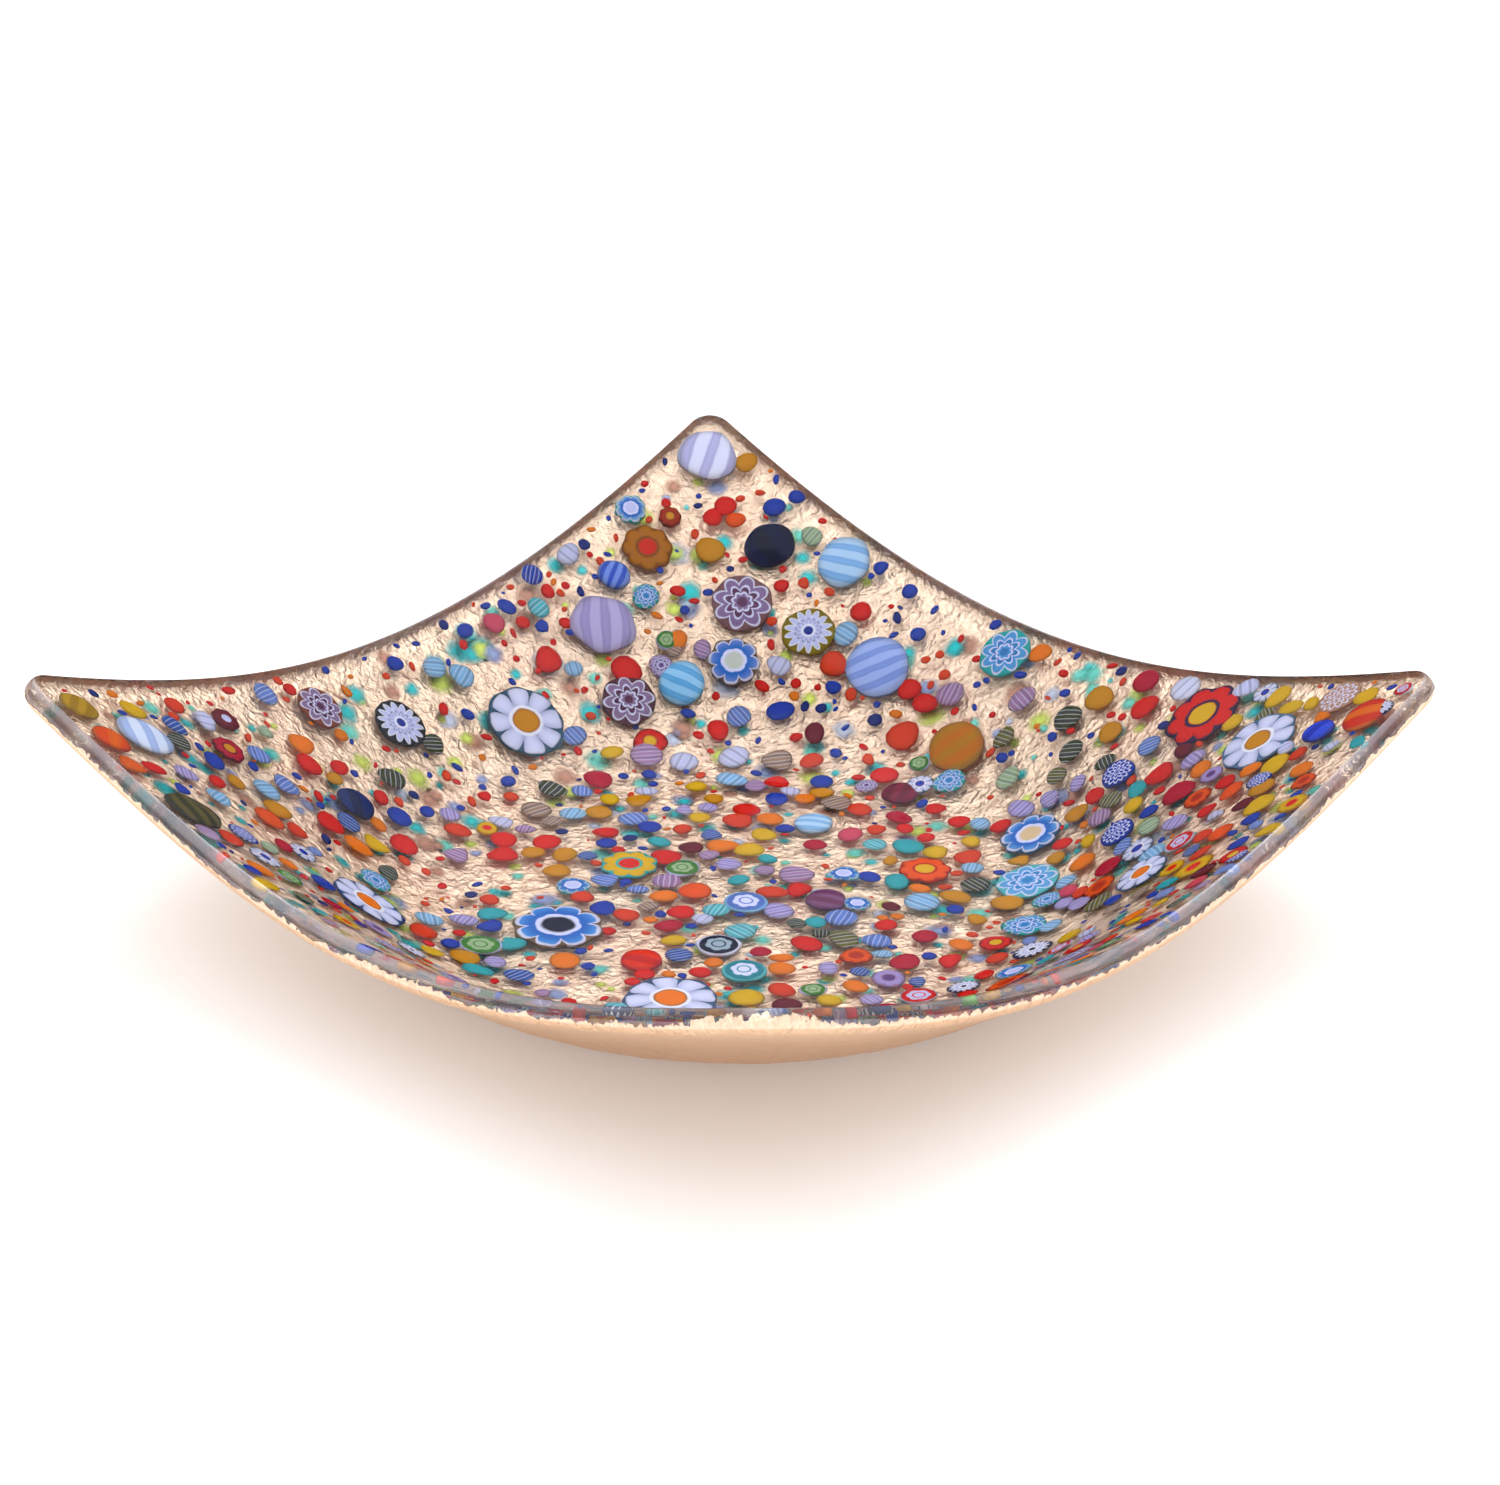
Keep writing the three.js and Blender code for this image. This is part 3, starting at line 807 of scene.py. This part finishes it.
def slice_surface(x, y, radius, kind, rng, around):
    """Points of one disc. Its outline is a circle that swings with the petals and wanders a
    little; rings go from the middle of the base, up the side, and in over the top."""
    petals, depth = PETALS[kind]
    angle = 2 * np.pi * np.arange(around) / around
    twist = rng.uniform(0, 2 * np.pi)
    out = 1 - depth * (0.5 - 0.5 * np.cos(petals * angle))
    for k in (2, 3, 5):
        out = out + rng.normal(0, 0.016) * np.cos(k * angle + rng.uniform(0, 6.3))
    if kind == "bead":
        out = out * (1 - 0.09 * np.sin(angle) ** 2)
    top = np.linspace(1, 0, 9)[:-1]
    share = np.concatenate([[0.5, 0.9, 1.0, 1.0], top * 0.985])
    sunk = np.concatenate([[-THICK, -THICK, -THICK + 0.2, -0.5], -COVER - 0.3 * top**8])
    px = share[:, None] * out * np.cos(angle)
    py = share[:, None] * out * np.sin(angle)
    turned_x = x + radius * (px * np.cos(twist) - py * np.sin(twist))
    turned_y = y + radius * (px * np.sin(twist) + py * np.cos(twist))
    rises = relief(turned_x, turned_y) * (sunk > -0.6)[:, None]
    points = slump(turned_x, turned_y, rises + sunk[:, None]).reshape(-1, 3)
    end_lifts = np.array([-THICK, float(relief(x, y)) - COVER])
    ends = slump(np.array([x, x]), np.array([y, y]), end_lifts)
    uv = np.stack([px.ravel(), py.ravel()], -1)
    points = np.concatenate([ends[:1], points, ends[1:]])
    uv = np.concatenate([[[0, 0]], uv, [[0, 0]]])
    return points, uv, len(share)


slice_rng = np.random.default_rng(5)
for name, (size, kind, colours) in SLICES.items():
    x, y, radius = laid[name]
    around = 96 if size > 9 else 64
    points, uv, rings_used = slice_surface(x, y, radius, kind, slice_rng, around)
    material = PATTERNS[kind](f"{name}_glass", *colours)
    quads, tris = ring_faces(rings_used, around)
    piece = build_mesh(f"{name}_cane", points, quads, tris, material, uv=uv)
    slot = next(s["material_slot"] for s in frame["record"]["subparts"] if s["node"] == name)
    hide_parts(name)
print("slices and beads made:", len(SLICES))

# %% [markdown]
# ## Chips, small slices and grains
#
# The rest of the pattern is strewn by hand: short bits of cane that melt into ovals, then
# grains, then crushed transparent glass that sinks to the leaf and spreads into soft
# stains. Particles could scatter them, but throwing each one and keeping it only where it
# has room is closer to how the maker fills the gaps; the stains are thrown anywhere.

# %% Small cane laid one by one
SMALL_CANE = {
    "plain": (
        (29, 78, 6.4, RED), (41, 67, 7.0, RED), (74, 75, 6.5, OCHRE), (91, 72, 5.2, COBALT),
        (88, -20, 6.8, OCHRE), (67, -57, 7.2, CRIMSON), (-3, 6, 6.7, ORANGE), (95, 84, 5.5, OCHRE),
        (29, -30, 6.5, OCHRE), (-27, -29, 6.8, YELLOW), (32, -90, 5.4, "d84a62"),
        (83, 76, 4.5, ORANGE), (84, 80, 5.0, RED), (80, 80, 4.5, RED), (96, 70, 4.0, COBALT),
        (62, 73, 3.4, RED), (78, 58, 3.6, RED), (54, 65, 4.4, TANGERINE), (45, 45, 5.2, RED),
        (93, 35, 3.6, COBALT), (94, 44, 3.4, COBALT), (67, 34, 3.6, COBALT), (86, 27, 3.5, COBALT),
        (-41, 75, 6.0, RED), (-48, 60, 6.5, RED), (-45, 54, 6.2, TANGERINE), (-20, 60, 3.4, COBALT),
        (2, 60, 3.6, COBALT), (-66, 60, 7.0, "e85a1c"), (-72, 70, 4.6, RED), (-2, 92, 4.0, COBALT),
        (18, 92, 4.2, COBALT), (30, 92, 4.4, COBALT), (40, 90, 3.6, RED), (-94, 72, 6.5, "e86a20"),
        (-88, 72, 5.5, RED), (88, -32, 6.0, RED), (94, -28, 6.0, CRIMSON), (81, -28, 5.5, OCHRE),
        (72, -48, 6.5, RED), (93, -64, 6.5, YELLOW), (86, -57, 5.0, YELLOW), (73, -78, 7.0, YELLOW),
        (-94.8, 31, 6.4, YELLOW), (-95.2, -9, 6.0, OCHRE), (-95.6, -19, 4.8, "e8481a"),
        (-94.5, -86, 6.0, OCHRE), (-89, -94.3, 6.0, ORANGE), (-82, -94.8, 5.5, TANGERINE),
        (-42, -95.4, 4.6, "6fae3c"), (49, -95, 5.4, YELLOW), (-95, 2, 5.6, COBALT),
        (66, -80, 6.0, OCHRE), (66, -72, 6.0, ORANGE), (60, -84, 7.0, YELLOW),
        (52, -80, 6.0, ORANGE),
    ),
    "striped": (
        (82, -16, 6.4, MOSS), (75, -22, 6.0, MOSS), (64, 46, 5.6, PEARL), (50, 94, 6.0, PEARL),
        (91, 61, 5.2, SAGE), (93.6, -39, 7.2, WHITE), (79, -40, 5.3, CORN), (58, -63, 6.5, LILAC),
        (78, 12, 6.0, MAUVE), (23, -27, 7.4, SKY), (-22, 69, 6.4, MOSS), (56, 60, 4.6, MAUVE),
        (52, 64, 4.2, TAUPE), (22, 62, 5.6, CORN), (10, 84, 5.6, SKY), (40, 94.8, 5.2, COBALT),
        (-38, 93, 5.8, CORN), (-52, 70, 6.0, CORN), (-70, 86, 6.0, "3a62b4"), (30, 50, 6.6, MAUVE),
        (42, 38, 6.6, PEARL), (36, 33, 6.6, SKY), (47, 31, 6.4, TAUPE), (95, -54, 6.0, PEARL),
        (76, -54, 6.0, LILAC), (60, -20, 6.2, LILAC), (66, -12, 5.8, SAGE), (74, -5, 5.4, OLIVE),
    ),
}
SMALL_SLICES = {
    "star_sky": ("star", ("5aa6dc", WHITE, "3c86c4", TEAL), ((56, 76.5, 5.9), (61, -1, 6.5))),
    "star_lavender": ("star", ("a492c4", WHITE, "6a4a86", MAUVE), ((47, 63, 5.3), (51.5, 12, 4.6))),
    "flower_mauve": ("flower", (LILAC, "6a4a86", MAUVE), ((-4, -42.5, 6.5), (71.5, -62.5, 5.2))),
    "ring_green": (
        "ring", (SAGE, "4c8f3a", PEARL), ((52, 66.5, 4.5), (62, 7.5, 4.3), (-16.5, -35.5, 5)),
    ),
    "daisy_tiny": ("daisy", (WHITE, COBALT, "49668c"), ((94, -60, 5.6), (57.5, 3.5, 5.4))),
    "lace_blue": ("lace", ("1f3fae", WHITE), ((68.5, -77.5, 5.5), (40, -94, 5.0))),
    "edged_sky": ("edged", ("62a8e2", WHITE, PEARL, AQUA), ((-17.5, 23.5, 6.7), (14, -19, 5.5))),
    "flower_orange": ("flower", (ORANGE, "c03008", "b83c08"), ((-1.5, -32.5, 6.1), (66, -91, 5.5))),
    "flower_yellow": (
        "flower", (YELLOW, RED, OCHRE),
        ((-12.5, 51, 4.6), (-36, -94.3, 6.6), (58, -94.2, 6.6), (-81, 22, 6.0)),
    ),
    "flower_red": (
        "flower", (RED, YELLOW, "a81408"), ((33, 52, 7.0), (41, -92.4, 6.4), (84, -92, 5.0)),
    ),
    "sunburst_white": (
        "sunburst", (WHITE, NAVY, "2c3a66"), ((-66, -93, 9.4), (-94, -62, 8.0), (88, -94.5, 5.0)),
    ),
    "ring_white": ("ring", (PEARL, RED, WHITE), ((94, -95.3, 4.2), (-88, -40, 7.0))),
}
small_count = sum(len(bits) for bits in SMALL_CANE.values())
print("small cane laid by hand:", small_count)

# %% Domes by the hundred
def dome_batch(name, x, y, radius, sink, thick, tint, material, seed, around=12, ovality=0.25):
    """Many small melted domes in one piece. Each is an oval whose outline wanders, with a
    flat base, a round side and a low crown; whole arrays hold bits by rings by columns."""
    draw = np.random.default_rng(seed)
    count = len(x)
    angle = 2 * np.pi * np.arange(around) / around + np.zeros((count, 1))
    out = np.ones((count, around))
    for k in (2, 3):
        size = draw.normal(0, 0.05, (count, 1))
        out = out + size * np.cos(k * angle + draw.uniform(0, 6.3, (count, 1)))
    narrow = 1 - draw.uniform(0, ovality, (count, 1))
    local_x, local_y = out * np.cos(angle), out * np.sin(angle) * narrow
    twist = draw.uniform(0, 2 * np.pi, (count, 1))
    share = np.array([0.86, 1.0, 0.86, 0.5])
    level = np.array([-1.0, -0.5, -0.1, -0.02])
    px = local_x[:, None, :] * share[:, None]
    py = local_y[:, None, :] * share[:, None]
    ends = np.zeros((count, 1))
    px = np.concatenate([ends, px.reshape(count, -1), ends], 1)
    py = np.concatenate([ends, py.reshape(count, -1), ends], 1)
    depth = np.concatenate([[-1.0], np.repeat(level, around), [0.0]]) * thick[:, None]
    size = radius[:, None]
    flat_x = x[:, None] + size * (px * np.cos(twist) - py * np.sin(twist))
    flat_y = y[:, None] + size * (px * np.sin(twist) + py * np.cos(twist))
    lift = np.where(sink[:, None] < 2, relief(flat_x, flat_y), 0) - sink[:, None] + depth
    points = slump(flat_x, flat_y, lift).reshape(-1, 3)
    quads, tris = ring_faces(len(share), around)
    first = (np.arange(count) * px.shape[1])[:, None, None]
    quads = (quads + first).reshape(-1, 4)
    tris = (tris + first).reshape(-1, 3)
    uv = np.stack([px.ravel(), py.ravel()], -1)
    tints = np.repeat(tint, px.shape[1], axis=0)
    return build_mesh(name, points, quads, tris, material, uv=uv, tint=tints)


def tint_glaze(name, **settings):
    """A glaze whose colour is painted bit by bit on the mesh."""
    glaze = Glaze(name, **settings)
    return glaze, glaze.node("ShaderNodeVertexColor", {"layer_name": "tint"})


plain_chip, chip_tint = tint_glaze("plain_chip_glass", Specular_IOR_Level=0.05)
plain_chips = finish_slice(plain_chip, chip_tint, plain_chip.noise(plain_chip.place(), 500))
striped_chip, chip_tint = tint_glaze("striped_chip_glass", Specular_IOR_Level=0.05)
_, _, across, along = striped_chip.on_slice()
stripes = (across * (1 + along * along * 0.3) * 9).cos()
lit = striped_chip.mix(abs(stripes).below(0.3, 0.3) * 0.55, chip_tint, paint("e8ecfa"))
lit = striped_chip.mix(stripes.below(-0.6, 0.4) * 0.3, lit, paint("50466a"))
striped_chips = finish_slice(striped_chip, lit, stripes * 0.3)

stain, stain_tint = tint_glaze("stain_glass", Roughness=0.45, Metallic=0.85)
stain_radius = stain.on_slice(wobble=0.5, scale=500)[0]
stain.set(Base_Color=stain_tint, Alpha=stain_radius.below(0.42, 1.05) * 0.8)
stain_glass = stain.material

# %% Throw the chips and grains
throw = np.random.default_rng(11)
RIM_MARGIN = 1.3
TRIES_PER_BIT = 12
taken = [np.array([laid_x, laid_y, laid_r]).T]
for bits in [*SMALL_CANE.values(), *(places for *_, places in SMALL_SLICES.values())]:
    taken.append(np.array([(bit[0], bit[1], bit[2] / 2) for bit in bits]))
taken = np.concatenate(taken)
BARE = ((-34, 31, 16), (-76, -2, 24), (-36, 0, 13), (-8, 97, 24), (70, 24, 20), (81, 1, 15),
        (-9, -11, 8), (30, 84, 20), (-52, 46, 12), (4, 44, 9))


def crowding(x, y):
    """How thickly the maker strewed a place: the floor and the near walls most, the far
    corner least, changing in steps."""
    bare = min(math.hypot(x - bx, y - by) / size for bx, by, size in BARE)
    if bare < 1:
        return 0.08
    if math.hypot(x, y) < 56:
        return 0.62
    if x + y > 45:
        return 0.04
    if x > 45:
        return 0.85
    if y > 45:
        return 0.34
    return 0.38 if x < -45 and y > -10 else 0.6


def on_blank(x, y, radius):
    """True if a bit lies inside the drawn-in sides and clear of the round corners."""
    side_x = HALF_SIDE - SIDE_BOW * (1 - (y / HALF_SIDE) ** 2) - RIM_MARGIN
    side_y = HALF_SIDE - SIDE_BOW * (1 - (x / HALF_SIDE) ** 2) - RIM_MARGIN
    corner = abs(x) + abs(y) + radius < 2 * HALF_SIDE - CORNER_RADIUS
    return abs(x) + radius < side_x and abs(y) + radius < side_y and corner


def throw_bits(count, smallest, largest, press, thick=crowding):
    """Places and sizes of bits thrown one by one. A bit stays if it falls inside the rim
    and is clear of what lies there, but for the share that bits press together."""
    global taken
    kept = []
    for _ in range(count * TRIES_PER_BIT):
        x, y = throw.uniform(-98, 98, 2)
        radius = smallest + (largest - smallest) * throw.beta(1.4, 2.0)
        if not on_blank(x, y, radius) or throw.random() > thick(x, y):
            continue
        apart = np.hypot(taken[:, 0] - x, taken[:, 1] - y)
        if np.any(apart < press * (taken[:, 2] + radius)):
            continue
        kept.append((x, y, radius))
        taken = np.append(taken, [[x, y, radius]], axis=0)
        if len(kept) == count:
            break
    return np.array(kept).T


def pick(colours, weights, count):
    """A colour for each bit, drawn by weight."""
    weights = np.array(weights, float)
    choice = throw.choice(len(colours), count, p=weights / weights.sum())
    return np.array([paint(c) for c in colours])[choice]


def shallow(count, low=0.1, high=0.5):
    """How far each bit sinks below the face."""
    return throw.uniform(low, high, count)


def near_walls(x, y):
    """The two sides whose inside faces the far corner carry most of the small slices."""
    return 0.8 if min(x, y) < -45 else 0.04


slice_x, slice_y, slice_r = throw_bits(64, 2.6, 4.6, 1.0, thick=near_walls)
for k, (name, (kind, colours, places)) in enumerate(SMALL_SLICES.items()):
    step = len(SMALL_SLICES)
    by_hand = np.array(places, float)
    x = np.concatenate([by_hand[:, 0], slice_x[k::step]])
    y = np.concatenate([by_hand[:, 1], slice_y[k::step]])
    radius = np.concatenate([by_hand[:, 2] / 2, slice_r[k::step]])
    count = len(x)
    small = dome_batch(
        f"small_{name}", x, y, radius, shallow(count, 0.1, 0.3), np.full(count, 1.4),
        np.ones((count, 4)), PATTERNS[kind](f"small_{name}_glass", *colours), seed=60 + k,
        around=28, ovality=0.08,
    )
print("small slices:", len(slice_x), "thrown")

chip_x, chip_y, chip_r = throw_bits(400, 1.9, 3.7, 0.84)
is_striped = throw.random(len(chip_x)) < 0.42
for kind, chosen, material, colours, weights in (
    ("plain", ~is_striped, plain_chips,
     (RED, "e0421a", TANGERINE, YELLOW, OCHRE, COBALT, CRIMSON, "35b0b8", "d8506a", WINE),
     (10, 10, 9, 7, 7, 7, 5, 4, 2, 3)),
    ("striped", is_striped, striped_chips,
     (LILAC, MAUVE, SKY, PEARL, SAGE, TAUPE, CORN, MOSS, "3a62b4", AQUA, OLIVE),
     (9, 8, 8, 7, 5, 5, 6, 3, 5, 4, 3)),
):
    by_hand = np.array([bit[:3] for bit in SMALL_CANE[kind]]).T
    hand_tint = np.array([paint(bit[3]) for bit in SMALL_CANE[kind]])
    x = np.concatenate([by_hand[0], chip_x[chosen]])
    y = np.concatenate([by_hand[1], chip_y[chosen]])
    radius = np.concatenate([by_hand[2] / 2, chip_r[chosen]])
    tint = np.concatenate([hand_tint, pick(colours, weights, int(chosen.sum()))])
    count = len(x)
    chips = dome_batch(
        f"chips_{kind}", x, y, radius, shallow(count), throw.uniform(0.9, 1.5, count), tint,
        material, seed=count,
    )
    "cane_red" if kind == "plain" else "cane_purple"
    print("chips", kind, count)


def even(x, y):
    """Grains are strewn alike everywhere."""
    return 1.0


grain_x, grain_y, grain_r = throw_bits(520, 0.5, 1.9, 0.9, thick=even)
count = len(grain_x)
grains = dome_batch(
    "grains_opaque", grain_x, grain_y, grain_r, shallow(count, 0.1, 1.2), grain_r * 0.7,
    pick((RED, "e8481a", COBALT, TANGERINE, "1c2f80"), (10, 8, 8, 3, 3), count), plain_chips,
    seed=31, around=8, ovality=0.5,
)
print("grains", count)

count = 760
stain_x, stain_y = throw.uniform(-95, 95, (2, count))
stain_r = throw.uniform(1.6, 4.5, count) * throw.uniform(0.6, 1, count)
stains = dome_batch(
    "stains_clear", stain_x, stain_y, stain_r, np.linspace(3.5, 3.85, count), np.full(count, 0.05),
    pick(("28c8cc", "6fdccc", "d6e668", "c8937c", "9aaad8", "c4cee4"), (9, 6, 7, 6, 4, 3), count),
    stain_glass, seed=41, around=10, ovality=0.4,
)
print("stains", count)
